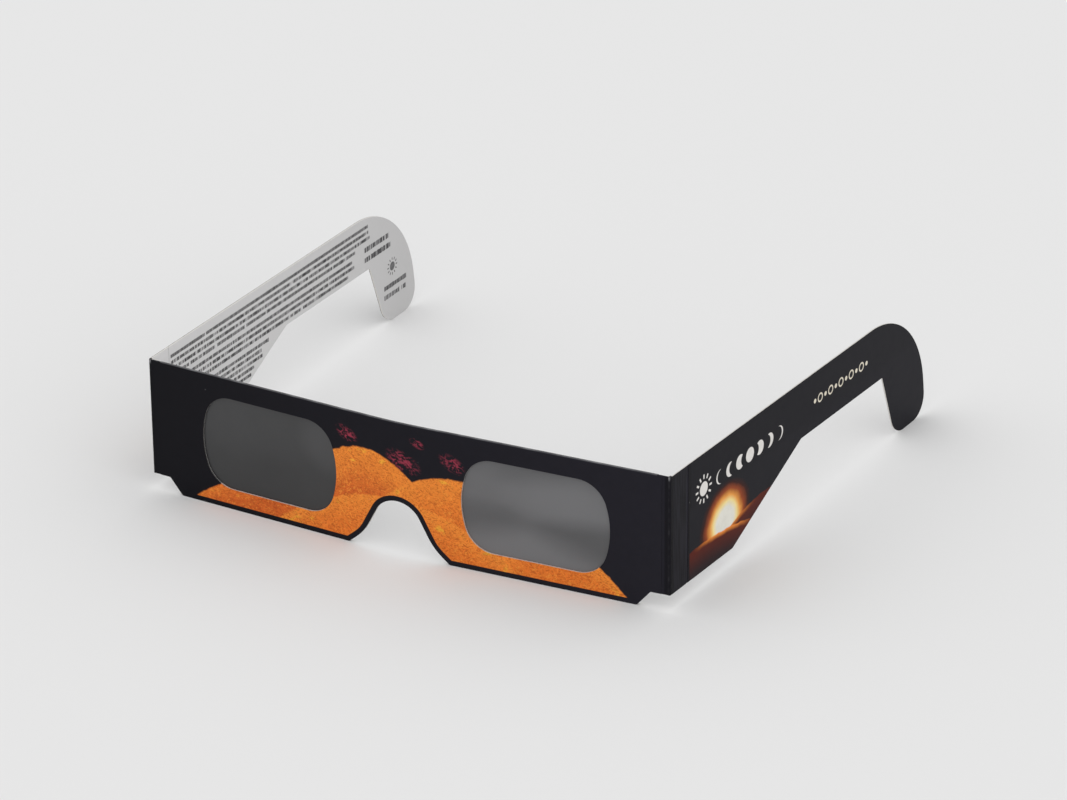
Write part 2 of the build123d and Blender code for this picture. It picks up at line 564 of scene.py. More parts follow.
@dataclass(frozen=True)
class WaveBand:
    """A generic printed band of warm wave crests along the front's lower edge.

    Attributes:
        crests: The waves, from the furthest to the nearest.
        border: The width of the black border along the lower edge and the nose arch.
        sprays: The clouds of flecks: their place along and up the card, half their length and half their
            height.
        flecks: The flecks in those clouds.
        ragged: How the waves' rims are frayed.
        fine: The dark strokes in the waves.
        bright: The light strokes in them.
        coarse: Their soft clouds.
        glint: The yellow patches under their rims.
    """

    crests: tuple[Crest, ...] = (
        Crest(-9.0, 25.6, 27.0, AMBER, RUST),
        Crest(15.0, 22.4, 31.0, AMBER, ORANGE),
        Crest(-33.0, 10.5, 26.0, ORANGE, RUST),
        Crest(41.0, 11.5, 19.0, AMBER, ORANGE),
        Crest(-1.0, 14.2, 34.0, AMBER, ORANGE),
    )
    border: float = 1.3
    sprays: tuple[tuple[float, float, float, float], ...] = (
        (1.8, 24.4, 4.6, 3.4), (-13.6, 28.2, 3.0, 2.4), (14.6, 26.4, 3.4, 2.8), (5.6, 29.8, 2.0, 1.5))
    flecks: Grain = Grain(0.95, 5.0, 1.4)
    ragged: Grain = Grain(2.2, 4.0)
    fine: Grain = Grain(1.15, 4.0, 2.6)
    bright: Grain = Grain(1.2, 3.0, 2.2)
    coarse: Grain = Grain(2.2, 3.0, 1.5)
    glint: Grain = Grain(3.4)

    def spray(self, along: Wire, up: Wire) -> Wire:
        """Paints the loose flecks that fly off above the crests.

        Args:
            along: Millimetres along the card.
            up: Millimetres up the card.

        Returns:
            A mask that is 1 in the flecks.
        """
        clouds = []
        for middle, level, long, tall in self.sprays:
            above = (up - level) / tall
            aside = (along - middle) / long + above * 0.5
            clouds.append((aside * aside + above * above).above(1.0, 0.0))
        flecks = along.shading.grain(self.flecks, along * 0.8 + up * 0.4, up, 9.0)
        return flecks.above(0.44, 0.66) * reduce(Wire.most, clouds)

    def paint(self, along: Wire, up: Wire, edge: Wire, ground: Link) -> bpy.types.NodeSocket:
        """Paints the band over a ground.

        Args:
            along: Millimetres along the card.
            up: Millimetres up the card.
            edge: The distance to the lower edge and the arch.
            ground: The colour behind the band.

        Returns:
            The colour of the printing.
        """
        shading = along.shading
        ragged = (shading.grain(self.ragged, along, up, 0.0) - 0.5) * 1.2
        fine = shading.grain(self.fine, along * 0.8 + up * 0.3, up * 1.2, 3.0).above(0.53, 0.37)
        bright = shading.grain(self.bright, along, up, 11.0).above(0.52, 0.68)
        grained = 0.84 + shading.grain(self.coarse, along, up, 0.0) * 0.3
        colour = shading.mix(self.spray(along, up) * 0.8, ground, CRIMSON)
        for crest in self.crests:
            drop = crest.drop(along, up, ragged)
            tone = shading.mix(drop.above(0.0, crest.height * 0.55), crest.lit, crest.deep)
            glint = shading.grain(self.glint, along, up * 1.7, crest.middle).above(0.62, 0.72)
            tone = shading.mix(glint * drop.within(0.6, 4.6, 0.8) * 0.5, tone, YELLOW)
            tone = shading.mix(bright * 0.5, shading.mix(fine * 0.5, tone, BRICK), GOLD)
            colour = shading.mix(drop.above(-0.25, 0.35), colour, shading.shaded(tone, grained))
        return shading.mix(edge.under(self.border, 0.08), colour, ground)


@dataclass(frozen=True)
class Front:
    """The bowed front: its shape, as the model has it, and its printing.

    Attributes:
        sweep: How far each half sweeps back, in degrees.
        bridge_radius: The radius of the bow's outer face at the bridge.
        height: The height of the front.
        half_width: From the middle to the corner crease.
        step_height: The height of the step at each end.
        arch_height: The height of the nose arch.
        arch_radius: The radius of the arch's top.
        arch_half_width: Half the arch's width at its foot.
        flank_angle: The slope of the arch's sides, in degrees.
        foot_angle: The slope where they run out, in degrees.
        crack_and_highlight: How the folded top's pale line, cracked ink and painted highlight, is broken up.
        scuff: The scuffed patches of the inner face.
        card: The card that it is cut from.
        glue: What holds the plies together.
        band: The printed band.
    """

    sweep: float = 2.9
    bridge_radius: float = 120.0
    height: float = 34.2
    half_width: float = 69.6
    step_height: float = 4.1
    arch_height: float = 13.8
    arch_radius: float = 6.6
    arch_half_width: float = 13.6
    flank_angle: float = 62.0
    foot_angle: float = 40.0
    crack_and_highlight: Grain = Grain(6.0, 4.0)
    scuff: Grain = Grain(14.0, 3.0)
    card: Card = Card()
    glue: Glue = Glue()
    band: WaveBand = WaveBand()

    def place(self) -> Placement:
        """Finds the axes at the middle of the lower edge: to the left, back through the card, and up.

        Returns:
            The axes.
        """
        up = listed(frame["joints"], "left_corner_fold", "axis").normalized()
        across = Vector((1, 0, 0))
        back = up.cross(across)
        corner = listed(frame["joints"], "left_corner_fold")
        middle = listed(frame["record"]["mounts"], "nose_arch")
        sweep = math.radians(self.sweep)
        reach_back = self.half_width * math.sin(sweep) + self.card.thickness * math.cos(sweep)
        level = (self.height + self.step_height) / 2
        start = corner - up * (level / METRE) - back * (reach_back / METRE)
        start.x = middle.x
        return Placement(start, across, back, up)

    def half(self, side: Side) -> Placement:
        """Finds the axes of one half: out along its outer face, in through the card, and up.

        Args:
            side: The side of the pair that the half is on.

        Returns:
            The axes.
        """
        whole = self.place()
        sweep = math.radians(self.sweep)
        across = whole.along * side.value
        along = across * math.cos(sweep) + whole.through * math.sin(sweep)
        through = whole.through * math.cos(sweep) - across * math.sin(sweep)
        return Placement(whole.origin, along, through, whole.up)

    def depth(self, across: Wire, back: Wire) -> Wire:
        """How deep a place lies behind the bowed outer face.

        Args:
            across: Millimetres to the left of the middle.
            back: Millimetres behind the place where the two halves would meet.

        Returns:
            The depth.
        """
        sweep = math.radians(self.sweep)
        centre = self.bridge_radius / math.cos(sweep)
        flat = back * math.cos(sweep) - abs(across) * math.sin(sweep)
        away = back - centre
        bowed = self.bridge_radius - across.slant(away)
        on_bow = abs(across).under(self.bridge_radius * math.sin(sweep), 0.01)
        return blended(on_bow, flat, bowed)

    def black(self, across: Wire) -> bpy.types.NodeSocket:
        """The front's black, with painted shading that is lighter at its left end and darker at its right."""
        # Painted shade: the black's brightness falls steadily from the front's left end to its right end.
        return across.shading.shaded(self.card.black, across * 0.0066 + 1.0)

    def edge_distance(self, across: Wire, up: Wire) -> Wire:
        """Measures the distance to the lower edge or the nose arch, whichever is nearer.

        Args:
            across: Millimetres to the left of the middle.
            up: Millimetres up the card.

        Returns:
            The distance.
        """
        flank, foot = math.radians(self.flank_angle), math.radians(self.foot_angle)
        aside = abs(across)
        above = up - (self.arch_height - self.arch_radius)
        down_flank = aside * math.cos(flank) - above * math.sin(flank)
        round_top = aside.slant(above)
        beside = aside * math.sin(flank) + above * math.cos(flank)
        arch = blended(down_flank.above(-0.01, 0.01), round_top, beside) - self.arch_radius
        over_foot = (aside - self.arch_half_width) * math.sin(foot) + up * math.cos(foot)
        return arch.math("SMOOTH_MIN", arch, over_foot, 1.0).least(up)

    def printed_material(self) -> bpy.types.Material:
        """Makes the outer ply's card: printed ahead, and bare at its back and cut edges.

        Returns:
            The material.
        """
        shading = Shading("front_printing")
        across, back, up = shading.coordinates(self.place())
        depth = self.depth(across, back)
        printed = self.card.ragged_skin(depth)
        printed = printed.most(up.above(self.height - 0.03, self.height - 0.01))
        edge = self.edge_distance(across, up)
        colour = self.band.paint(across, up, edge, self.black(across))
        warm = shading.red(colour).above(0.1, 0.35)
        cut = shading.mix(self.card.stain - warm * 0.42, self.card.core, colour)
        inside = depth.above(self.card.thickness - 0.07, self.card.thickness - 0.02)
        paper = shading.mix(inside, cut, self.card.bare)
        return self.card.finished(shading, printed, colour, paper, self.card.ink_gloss)

    def fold_material(self) -> bpy.types.Material:
        """Makes the folded top's card: black, pale along its crown with cracked ink and a painted highlight.

        Returns:
            The material.
        """
        shading = Shading("fold_printing")
        across, _, up = shading.coordinates(self.place())
        # Painted highlight along the rounded crown, mixed with cracked ink.
        crown = up.above(self.height - 0.24, self.height)
        broken = 0.3 + shading.grain(self.crack_and_highlight, across, 0.0, 0.0).above(0.4, 0.7) * 0.4
        colour = shading.mix(crown * broken, self.black(across), self.card.pale_mark_and_highlight)
        return self.card.finished(shading, 1.0, colour, self.card.core, self.card.ink_gloss)

    def inner_material(self) -> bpy.types.Material:
        """Makes the inner ply's card, bare all over.

        Returns:
            The material.
        """
        shading = Shading("inner_card")
        across, back, _ = shading.coordinates(self.place())
        face = self.depth(across, back).above(self.card.stack - 0.1, self.card.stack - 0.04)
        scuffed = shading.grain(self.scuff).above(0.45, 0.7)
        bare = shading.shaded(self.card.bare, 1 - scuffed * 0.03)
        paper = shading.mix(face, self.card.core, bare)
        return self.card.finished(shading, 0.0, self.card.black, paper, self.card.ink_gloss)

    def dress(self) -> None:
        """Gives the front's sheets of card and the glue their materials."""
        wear(self.printed_material(), "front_panel")
        wear(self.fold_material(), "top_fold")
        wear(self.inner_material(), "back_panel")
        wear(self.glue.material(), "glue_layer")


@dataclass(frozen=True)
class RuledBlock:
    """A block of ragged ruled lines on the inner face.

    Attributes:
        top: The height of the first line.
        spacing: The distance from one line to the next.
        start: Where along the temple the lines start.
        ends: Where each of them ends.
        heavy: How long the heavy start of the first line is.
        half: Half the height of a line.
        stroke: The length of the strokes that a line is made of.
        wash: How much ink there is between the strokes.
    """

    top: float
    spacing: float
    start: float
    ends: tuple[float, ...]
    heavy: float = 0.0
    half: float = 0.44
    stroke: float = 0.34
    wash: float = 0.26


@dataclass(frozen=True)
class Temple:
    """One temple: its shape, as the model has it, and the printing on both of its faces.

    Attributes:
        side: The side of the pair that it is on.
        strip_length: From the corner crease to the second score.
        blocks: The blocks of ruled lines.
        sun: The printed sun beside the discs: its place along and up the temple, and its radius.
        hook_sun: The same for the small sun inside the hook.
        disc_radius: The radius of a disc in the row.
        disc_pitch: The distance between two discs.
        disc_start: Where along the temple the first disc is.
        disc_height: The height of the row of discs.
        cover_shares: How far the cover of each disc is pushed aside, in radii.
        dot_start: Where along the arm the row of dots and rings starts.
        dot_pitch: The distance from a dot to the next ring.
        dots: How many dots and rings there are.
        dot_height: The height of that row.
        dot_radius: The radius of a dot.
        ring_radius: The radius of a ring.
        ring_width: The width of a ring's line.
        glow_along: Where along the temple the printed glow is brightest.
        glow_up: The height of that place.
        glow_radius: How far the glow reaches.
        glow_top: Where the glow has faded out below the discs.
        ridges: The dark waves before the glow, the farther one first.
        print_blur: How far the printing's edges are blurred.
        flicker: How the glow's rings waver.
        ragged: How the dark waves' rims are frayed.
        streak: The streaks on the hinge strip: rubbed card with a painted sheen.
        smudge: How unevenly the ruled lines are inked.
        rub: Where the crease's ridge is rubbed.
        front: The front that it folds against.
    """

    side: Side
    strip_length: float = 7.5
    blocks: tuple[RuledBlock, ...] = (
        RuledBlock(31.4, 1.66, 8.3, (99.6, 99.8, 100.4, 93.2), 13.0),
        RuledBlock(24.3, 1.65, 8.3, (91.6, 92.6, 89.6), 9.5),
        RuledBlock(18.75, 1.54, 8.3, (51.6, 48.2, 48.6, 44.6, 43.2)),
        RuledBlock(25.2, 2.8, 97.4, (109.8, 110.6), half=0.7, stroke=0.32, wash=0.04),
        RuledBlock(10.8, 2.6, 107.0, (118.0, 117.6), 11.0, 0.62, 0.36, 0.08))
    sun: tuple[float, float, float] = (14.5, 25.2, 3.7)
    hook_sun: tuple[float, float, float] = (111.2, 15.9, 2.5)
    disc_radius: float = 1.85
    disc_pitch: float = 4.55
    disc_start: float = 22.0
    disc_height: float = 25.2
    cover_shares: tuple[float, ...] = (0.3, 0.75, 1.25, 2.1, 1.25, 0.75, 0.3)
    dot_start: float = 66.5
    dot_pitch: float = 2.53
    dots: int = 11
    dot_height: float = 26.6
    dot_radius: float = 0.58
    ring_radius: float = 1.02
    ring_width: float = 0.4
    glow_along: float = 24.5
    glow_up: float = 12.6
    glow_radius: float = 11.8
    glow_top: float = 23.6
    ridges: tuple[Crest, ...] = (Crest(42.0, 13.0, 34.0, AMBER, RUST), Crest(13.0, 11.4, 46.0, AMBER, RUST))
    print_blur: float = 0.07
    flicker: Grain = Grain(5.0)
    ragged: Grain = Grain(2.2, 3.0)
    streak: Grain = Grain(0.5)
    smudge: Grain = Grain(0.6)
    rub: Grain = Grain(2.4, 4.0)
    front: Front = Front()

    @property
    def card(self) -> Card:
        """The card that it is cut from."""
        return self.front.card

    @property
    def groove_shade(self) -> float:
        """How dark the painted shade in the corner's groove is, lighter on the right."""
        return 0.6 if self.side is Side.LEFT else 0.15

    def place(self) -> Placement:
        """Finds the axes at the corner crease: back along the inner face, out through the card, and up.

        Returns:
            The axes.
        """
        up = self.front.place().up
        score = listed(frame["joints"], self.side.word + "_temple_fold")
        hook = listed(frame["record"]["mounts"], self.side.word + "_ear_hook")
        along = hook - score
        along = (along - up * along.dot(up)).normalized()
        outward = along.cross(up) * self.side.value
        level = (self.front.height + self.front.step_height) / 2
        start = score - along * (self.strip_length / METRE) - outward * (self.card.thickness / 2 / METRE)
        return Placement(start - up * (level / METRE), along, outward, up)

    def ruled(self, along: Wire, up: Wire) -> Wire:
        """Draws the ruled lines on the inner face.

        Args:
            along: Millimetres along the temple.
            up: Millimetres up the temple.

        Returns:
            A mask that is 1 in the lines.
        """
        grain = along.shading.grain
        lines = self.sun_mask(along, up, self.hook_sun) * 0.85
        for block in self.blocks:
            row = (block.top - up) / block.spacing
            near = row.whole()
            end: Value = 0.0
            for number, reach in enumerate(block.ends):
                end = near.math("COMPARE", near, number, 0.5) * reach + end
            ragged = grain(Grain(block.stroke * 1.6, 1.0), along, near * 5.7, block.top)
            line = abs(row - near) * block.spacing - (ragged * 0.8 + 0.6) * block.half
            gaps = grain(Grain(block.stroke * 3.4, 1.0), along, near * 9.1, block.top + 7.0)
            strokes = grain(Grain(block.stroke, 1.0), along, near * 3.3, block.top + 40.0)
            stop = block.start + block.heavy
            heavy = near.under(0.5, 0.1) * along.under(stop, 0.1)
            filled = strokes.above(0.36, 0.52).most(heavy * 0.55)
            inked = gaps.above(0.3, 0.34).most(heavy) * (filled * (1 - block.wash) + block.wash)
            begun = along.above(block.start - 0.1, block.start + 0.1)
            inked = inked * (along - end).under(0.0, 0.1) * begun
            lines = lines.most(line.under(0.0, 0.08) * inked)
        return lines

    @staticmethod
    def sun_mask(along: Wire, up: Wire, sun: tuple[float, float, float]) -> Wire:
        """Draws a plain sun, a disc with twelve short rays round it.

        Args:
            along: Millimetres along the temple.
            up: Millimetres up the temple.
            sun: The sun's place along and up the temple, and its radius.

        Returns:
            A mask that is 1 in the sun.
        """
        middle, level, radius = sun
        aside, above = along - middle, up - level
        away = aside.slant(above) / radius
        turn = above.math("ARCTAN2", above, aside) * (6 / math.pi)
        rays = (abs(turn - turn.whole()) * away).above(0.16, 0.11) * away.within(0.68, 0.98, 0.03)
        return away.above(0.5, 0.46).most(rays)

    def discs(self, along: Wire, up: Wire) -> Wire:
        """Draws the row of discs, each covered from one side by another as large.

        Args:
            along: Millimetres along the temple.
            up: Millimetres up the temple.

        Returns:
            A mask that is 1 in what is left of the discs.
        """
        shown = []
        radius, blur = self.disc_radius, self.print_blur
        for number, share in enumerate(self.cover_shares):
            aside = along - (self.disc_start + number * self.disc_pitch)
            above = up - self.disc_height
            turned = 1 if number <= len(self.cover_shares) // 2 else -1
            cover = (aside - turned * share * radius).slant(above)
            shown.append(aside.slant(above).under(radius, blur) * cover.above(radius - blur, radius + blur))
        return reduce(Wire.most, shown)

    def dotted(self, along: Wire, up: Wire) -> Wire:
        """Draws the row of small dots and rings on the arm.

        Args:
            along: Millimetres along the temple.
            up: Millimetres up the temple.

        Returns:
            A mask that is 1 in them.
        """
        step = (along - self.dot_start) / self.dot_pitch
        near = step.whole()
        aside, above = (step - near) * self.dot_pitch, up - self.dot_height
        away = aside.slant(above)
        dot = away.under(self.dot_radius, self.print_blur)
        ring = abs(away - self.ring_radius).under(self.ring_width / 2, 0.06)
        odd = abs(near / 2 - (near / 2).whole()).above(0.2, 0.3)
        row = near.within(-0.5, self.dots - 0.5, 0.1)
        return (dot * (1 - odd)).most(ring * odd) * row

    def glow(self, along: Wire, up: Wire) -> bpy.types.NodeSocket:
        """Paints the heel's picture, a glow that rises behind dark waves.

        Args:
            along: Millimetres along the temple.
            up: Millimetres up the temple.

        Returns:
            The colour of the printing.
        """
        shading = along.shading
        aside, above = along - self.glow_along, (up - self.glow_up) * 1.12
        flicker = (shading.grain(self.flicker, along, up, 2.0) - 0.5) * 0.16
        far = aside.slant(above) / self.glow_radius + flicker
        halo = shading.node("ShaderNodeValToRGB", {"stops": (
            (0.0, CREAM), (0.32, CREAM), (0.46, ink(246, 222, 150)), (0.58, ink(232, 158, 74)),
            (0.72, ink(150, 70, 34)), (0.87, ink(58, 26, 20)), (1.0, self.card.black))}, {0: far})
        ragged = (shading.grain(self.ragged, along, up, 4.0) - 0.5) * 0.7
        colour = halo.outputs[0]
        for crest, gleam in zip(self.ridges, (0.8, 1.0)):
            drop = crest.drop(along, up, ragged)
            rim = drop.above(1.5, 0.1) * far.above(1.25, 0.4) * gleam
            body = shading.mix(rim, shading.mix(drop.above(0.0, 7.0) * 0.9, EMBER, self.card.black), AMBER)
            colour = shading.mix(drop.above(-0.1, 0.25), colour, body)
        return colour

    def printed_mask(self, along: Wire, outward: Wire, up: Wire) -> Wire:
        """Finds the printed face, which reaches down into the grooves of the creases.

        Args:
            along: Millimetres along the temple.
            outward: Millimetres outside its inner face.
            up: Millimetres up the temple.

        Returns:
            A mask that is 1 where the card is printed.
        """
        face = self.card.ragged_skin(self.card.thickness - outward)
        near_crease = abs(along - self.strip_length).least(abs(along)).above(1.1, 0.9)
        below_top = up.within(self.front.step_height + 0.02, self.front.height - 0.02, 0.01)
        return face.most(near_crease * below_top * outward.above(0.08, 0.14))

    def material(self) -> bpy.types.Material:
        """Makes the temple's card: printed outside, ruled inside, and bare at its cut edges.

        Returns:
            The material.
        """
        shading = Shading(self.side.word + "_temple_printing")
        along, outward, up = shading.coordinates(self.place())
        printed = self.printed_mask(along, outward, up)
        streaks = shading.grain(self.streak, along, up * 0.05, 0.0)
        # Painted sheen: the hinge strip is lighter on the whole, in streaks that are also rubbed card.
        strip = along.under(self.strip_length, 0.1)
        # Painted highlight just before the second score, and painted shade just after it.
        score = along.within(self.strip_length - 0.8, self.strip_length - 0.15, 0.15) * 0.55
        score = score - along.within(self.strip_length + 0.15, self.strip_length + 1.3, 0.3) * 0.3
        tone = 0.86 + strip * (streaks.above(0.35, 0.65) * 0.8 - 0.25) + score
        # Painted shade in the groove where the temple leaves the corner.
        painted_groove_shade = along.above(1.5, 0.3) * (self.groove_shade * 0.8)
        black = shading.shaded(self.card.black, tone * (1 - painted_groove_shade))
        on_heel = along.above(self.strip_length + 0.3, self.strip_length + 1.2)
        below_discs = up.above(self.glow_top, self.glow_top - 2.4)
        colour = shading.mix(on_heel * below_discs, black, self.glow(along, up))
        marks = self.discs(along, up).most(self.sun_mask(along, up, self.sun))
        colour = shading.mix(marks, colour, PALE)
        colour = shading.mix(self.dotted(along, up), colour, GILT)
        inner = outward.above(0.04, 0.015)
        rules = self.ruled(along, up) * inner
        smudge = shading.grain(self.smudge, along * 0.5, up, 8.0)
        # Painted shade: the bare inner face is lighter near the corner and darker towards the hook.
        bare_with_painted_shade = shading.shaded(self.card.bare, 1.18 - along * 0.0026)
        paper = shading.mix(inner, self.card.core, bare_with_painted_shade)
        paper = shading.mix(rules * (0.74 + smudge * 0.3), paper, self.card.fine_print)
        return self.card.finished(shading, printed, colour, paper, self.card.temple_gloss)

    def crease_material(self) -> bpy.types.Material:
        """Makes the corner crease's card: black, with painted groove shade by the bead and pale marks on top.

        Returns:
            The material.
        """
        shading = Shading(self.side.word + "_crease_printing")
        across, back, up = shading.coordinates(self.front.place())
        _, outward, _ = shading.coordinates(self.place())
        depth = self.front.depth(across, back)
        outside = depth.above(self.card.thickness + 0.02, self.card.thickness - 0.08)
        printed = outside.most(outward.above(-0.24, -0.17))
        # Painted shade in the groove beside the bead, darker on the left.
        groove = abs(across).above(self.front.half_width - 1.4, self.front.half_width - 1.0)
        rubbed = shading.grain(self.rub, 0.0, 0.0, up).above(0.42, 0.75)
        ridge = depth.above(0.12, 0.02) * abs(across).above(self.front.half_width - 0.45,
                                                            self.front.half_width - 0.2)
        chip = up.above(self.front.height - 1.3, self.front.height - 0.2)
        black = shading.mix(groove * self.groove_shade, self.front.black(across), self.card.painted_groove_shade)
        colour = shading.mix((ridge * rubbed * 0.06).most(ridge * chip * 0.6), black, self.card.pale_mark_and_highlight)
        foot = up.above(self.front.step_height + 0.005, self.front.step_height + 0.025)
        top = up.above(self.front.height - 0.03, self.front.height - 0.01)
        paper = shading.mix(top.most(1 - foot), self.card.bare, self.card.core)
        return self.card.finished(shading, printed * foot, colour, paper, self.card.ink_gloss)

    def dress(self) -> None:
        """Gives the temple's pieces their materials."""
        word = self.side.word
        wear(self.material(), word + "_temple", word + "_hinge_strip", word + "_temple_crease")
        wear(self.crease_material(), word + "_corner_crease")


@dataclass(frozen=True)
class PaintedReflection:
    """A painted reflection on a film: a soft lighter or darker cloud.

    Attributes:
        along: Its place along the card, to the left of the middle.
        up: Its place up the card.
        long: Half its length.
        tall: Half its height.
        gain: How much lighter it is than the film, or darker where it is negative.
    """

    along: float
    up: float
    long: float
    tall: float
    gain: float

    def cloud(self, along: Wire, up: Wire) -> Wire:
        """What the painted reflection adds to the film's brightness."""
        aside, above = (along - self.along) / self.long, (up - self.up) / self.tall
        return (aside * aside + above * above).above(1.6, 0.0) * self.gain


@dataclass(frozen=True)
class FilmFinish:
    """The films' smooth dark surface, with soft clouds, painted reflections and a little dust.

    Attributes:
        tone: The colour of the right film.
        left_painted_reflection: How much lighter the left film is than that, as a painted reflection.
        painted_reflections: The painted reflections on both films, soft lighter or darker clouds.
        roughness: How dull they are.
        gloss: How strongly they mirror.
        relief: The depth of the unevenness in their surface.
        dust: The spacing, the radius and the share of the pale specks.
        dust_tone: The colour of those specks.
        pits: The spacing, the radius and the share of the dark ones.
        pit_tone: The colour of those.
        clouds: The soft broad clouds.
        mist: The smaller ones in them.
        fine: The film's finest unevenness.
    """

    tone: Colour = ink(48, 48, 49)
    left_painted_reflection: float = 2.75
    painted_reflections: tuple[PaintedReflection, ...] = (
        PaintedReflection(44.0, 21.8, 17.0, 6.0, 1.2), PaintedReflection(33.0, 7.0, 19.0, 6.5, 1.3),
        PaintedReflection(21.0, 23.0, 9.0, 6.5, 0.4), PaintedReflection(50.0, 13.2, 15.0, 5.5, -1.0),
        PaintedReflection(21.0, 14.0, 12.0, 5.0, -0.7), PaintedReflection(31.0, 28.5, 14.0, 4.5, -0.4),
        PaintedReflection(-18.0, 24.5, 9.0, 8.5, 0.6), PaintedReflection(-44.0, 24.0, 24.0, 9.0, 0.25),
        PaintedReflection(-46.0, 11.0, 18.0, 10.0, -0.1))
    roughness: float = 0.3
    gloss: float = 0.45
    relief: float = 0.12
    dust: tuple[float, float, float] = (3.4, 0.1, 0.5)
    dust_tone: Colour = ink(150, 150, 150)
    pits: tuple[float, float, float] = (6.1, 0.2, 0.35)
    pit_tone: Colour = ink(34, 34, 36)
    clouds: Grain = Grain(13.0, 3.0, 0.6)
    mist: Grain = Grain(4.5, 3.0)
    fine: Grain = Grain(0.35)

    def material(self, place: Placement) -> bpy.types.Material:
        """Makes the films' material.

        Args:
            place: The axes of the front.

        Returns:
            The material.
        """
        shading = Shading("filter_film")
        across, _, up = shading.coordinates(place)
        clouds = shading.grain(self.clouds)
        mist = shading.grain(self.mist)
        fine = shading.grain(self.fine)
        dust = shading.specks(*self.dust)
        pits = shading.specks(*self.pits)
        # Painted reflection: the films' brightness, lighter on the left film, with soft clouds and the painted
        # reflections.
        light = across.above(-1.0, 1.0) * self.left_painted_reflection + 0.82 + clouds * 0.3 + mist * 0.1
        for cloud in self.painted_reflections:
            light = light + cloud.cloud(across, up)
        colour = shading.shaded(self.tone, light)
        colour = shading.mix(dust * 0.4, colour, self.dust_tone)
        colour = shading.mix(pits * 0.35, colour, self.pit_tone)
        roughness = self.roughness + clouds * 0.1 + dust * 0.2
        relief = clouds * 0.85 + fine * 0.02 + mist * 0.13
        return shading.surface(colour, roughness, relief, self.relief, self.gloss)


@dataclass(frozen=True)
class Films:
    """The two filter films, each a sheet that ripples a little in its window.

    Attributes:
        inner_end: From the middle to the film's inner edge.
        outer_end: From the middle to its outer edge.
        low: The height of its lower edge.
        high: The height of its upper edge.
        margin: How much of it lies between the plies.
        ripple: How far the sheet strays from flat.
        ripple_size: The width of one ripple.
        columns: The divisions along the sheet.
        rows: The divisions up it.
        sharp: The angle, in degrees, from which an edge of the sheet stays sharp.
        finish: Their surface.
        front: The front that holds them.
    """

    inner_end: float = 14.2
    outer_end: float = 57.4
    low: float = 2.6
    high: float = 31.8
    margin: float = 2.6
    ripple: float = 0.16
    ripple_size: float = 17.0
    columns: int = 72
    rows: int = 48
    sharp: float = 40.0
    finish: FilmFinish = FilmFinish()
    front: Front = Front()

    def sheet(self, side: Side) -> bpy.types.Object:
        """Models one film and puts it between the plies.

        Args:
            side: The side of the pair that it is on.

        Returns:
            The film.
        """
        clear_selection()
        bpy.ops.mesh.primitive_grid_add(x_subdivisions=self.columns, y_subdivisions=self.rows, size=1.0)
        film = bpy.context.object
        film.name = side.word + "_film_sheet"
        wide, tall = self.outer_end - self.inner_end, self.high - self.low
        film.scale = (wide, tall, 1.0)
        film.rotation_euler = (math.radians(90), 0.0, 0.0)
        depth = self.front.card.thickness + self.front.card.film / 2
        film.location = ((self.inner_end + self.outer_end) / 2, depth, (self.low + self.high) / 2)
        bpy.ops.object.transform_apply(location=True, rotation=True, scale=True)
        self.free_middle(film)
        clouds = bpy.data.textures.new(side.word + "_ripples", "CLOUDS")
        clouds.noise_scale = self.ripple_size
        clouds.noise_depth = 0
        add_modifier(film, "DISPLACE", texture=clouds, texture_coords="LOCAL", direction="Y",
                     strength=2 * self.ripple, mid_level=0.5, vertex_group="window")
        add_modifier(film, "SOLIDIFY", thickness=self.front.card.film, offset=0.0)
        film.data.transform(self.front.half(side).matrix())
        faces_outward(film)
        bpy.ops.object.shade_smooth_by_angle(angle=math.radians(self.sharp))
        return film

    def free_middle(self, film: bpy.types.Object) -> None:
        """Lets only the part of the sheet that is clear of the plies ripple.

        Args:
            film: The flat sheet.
        """
        group = film.vertex_groups.new(name="window")
        for vertex in film.data.vertices:
            x, _, z = vertex.co
            inset = min(x - self.inner_end, self.outer_end - x, z - self.low, self.high - z) - self.margin
            share = min(max(inset / (2 * self.margin), 0.0), 1.0)
            group.add([vertex.index], share * share * (3 - 2 * share), "REPLACE")

    def build(self) -> None:
        """Makes both films and sets them in the front."""
        material = self.finish.material(self.front.place())
        for side in Side:
            film = self.sheet(side)
            film.data.materials.append(material)
            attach(film, "front")
            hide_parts(side.word + "_filter")
            log.info("%s: %d faces", film.name, len(film.data.polygons))


@dataclass(frozen=True)
class Lamp:
    """A large soft lamp far away.

    Attributes:
        name: What the lamp is called.
        strength: How bright a surface that faces it is.
        azimuth: The side that its light comes from, in degrees from straight ahead towards the left.
        elevation: How high it stands, in degrees.
        width: How wide it seems, in degrees.
    """

    name: str
    strength: float
    azimuth: float
    elevation: float
    width: float

    def light(self) -> None:
        """Puts the lamp in the scene."""
        lamp = bpy.data.lights.new(self.name, "SUN")
        lamp.energy = self.strength
        lamp.angle = math.radians(self.width)
        holder = bpy.data.objects.new(self.name, lamp)
        aside, rise = math.radians(self.azimuth), math.radians(self.elevation)
        level = math.cos(rise)
        towards = Vector((math.sin(aside) * level, -math.cos(aside) * level, math.sin(rise)))
        holder.rotation_euler = towards.to_track_quat("Z", "Y").to_euler()
        bpy.context.scene.collection.objects.link(holder)


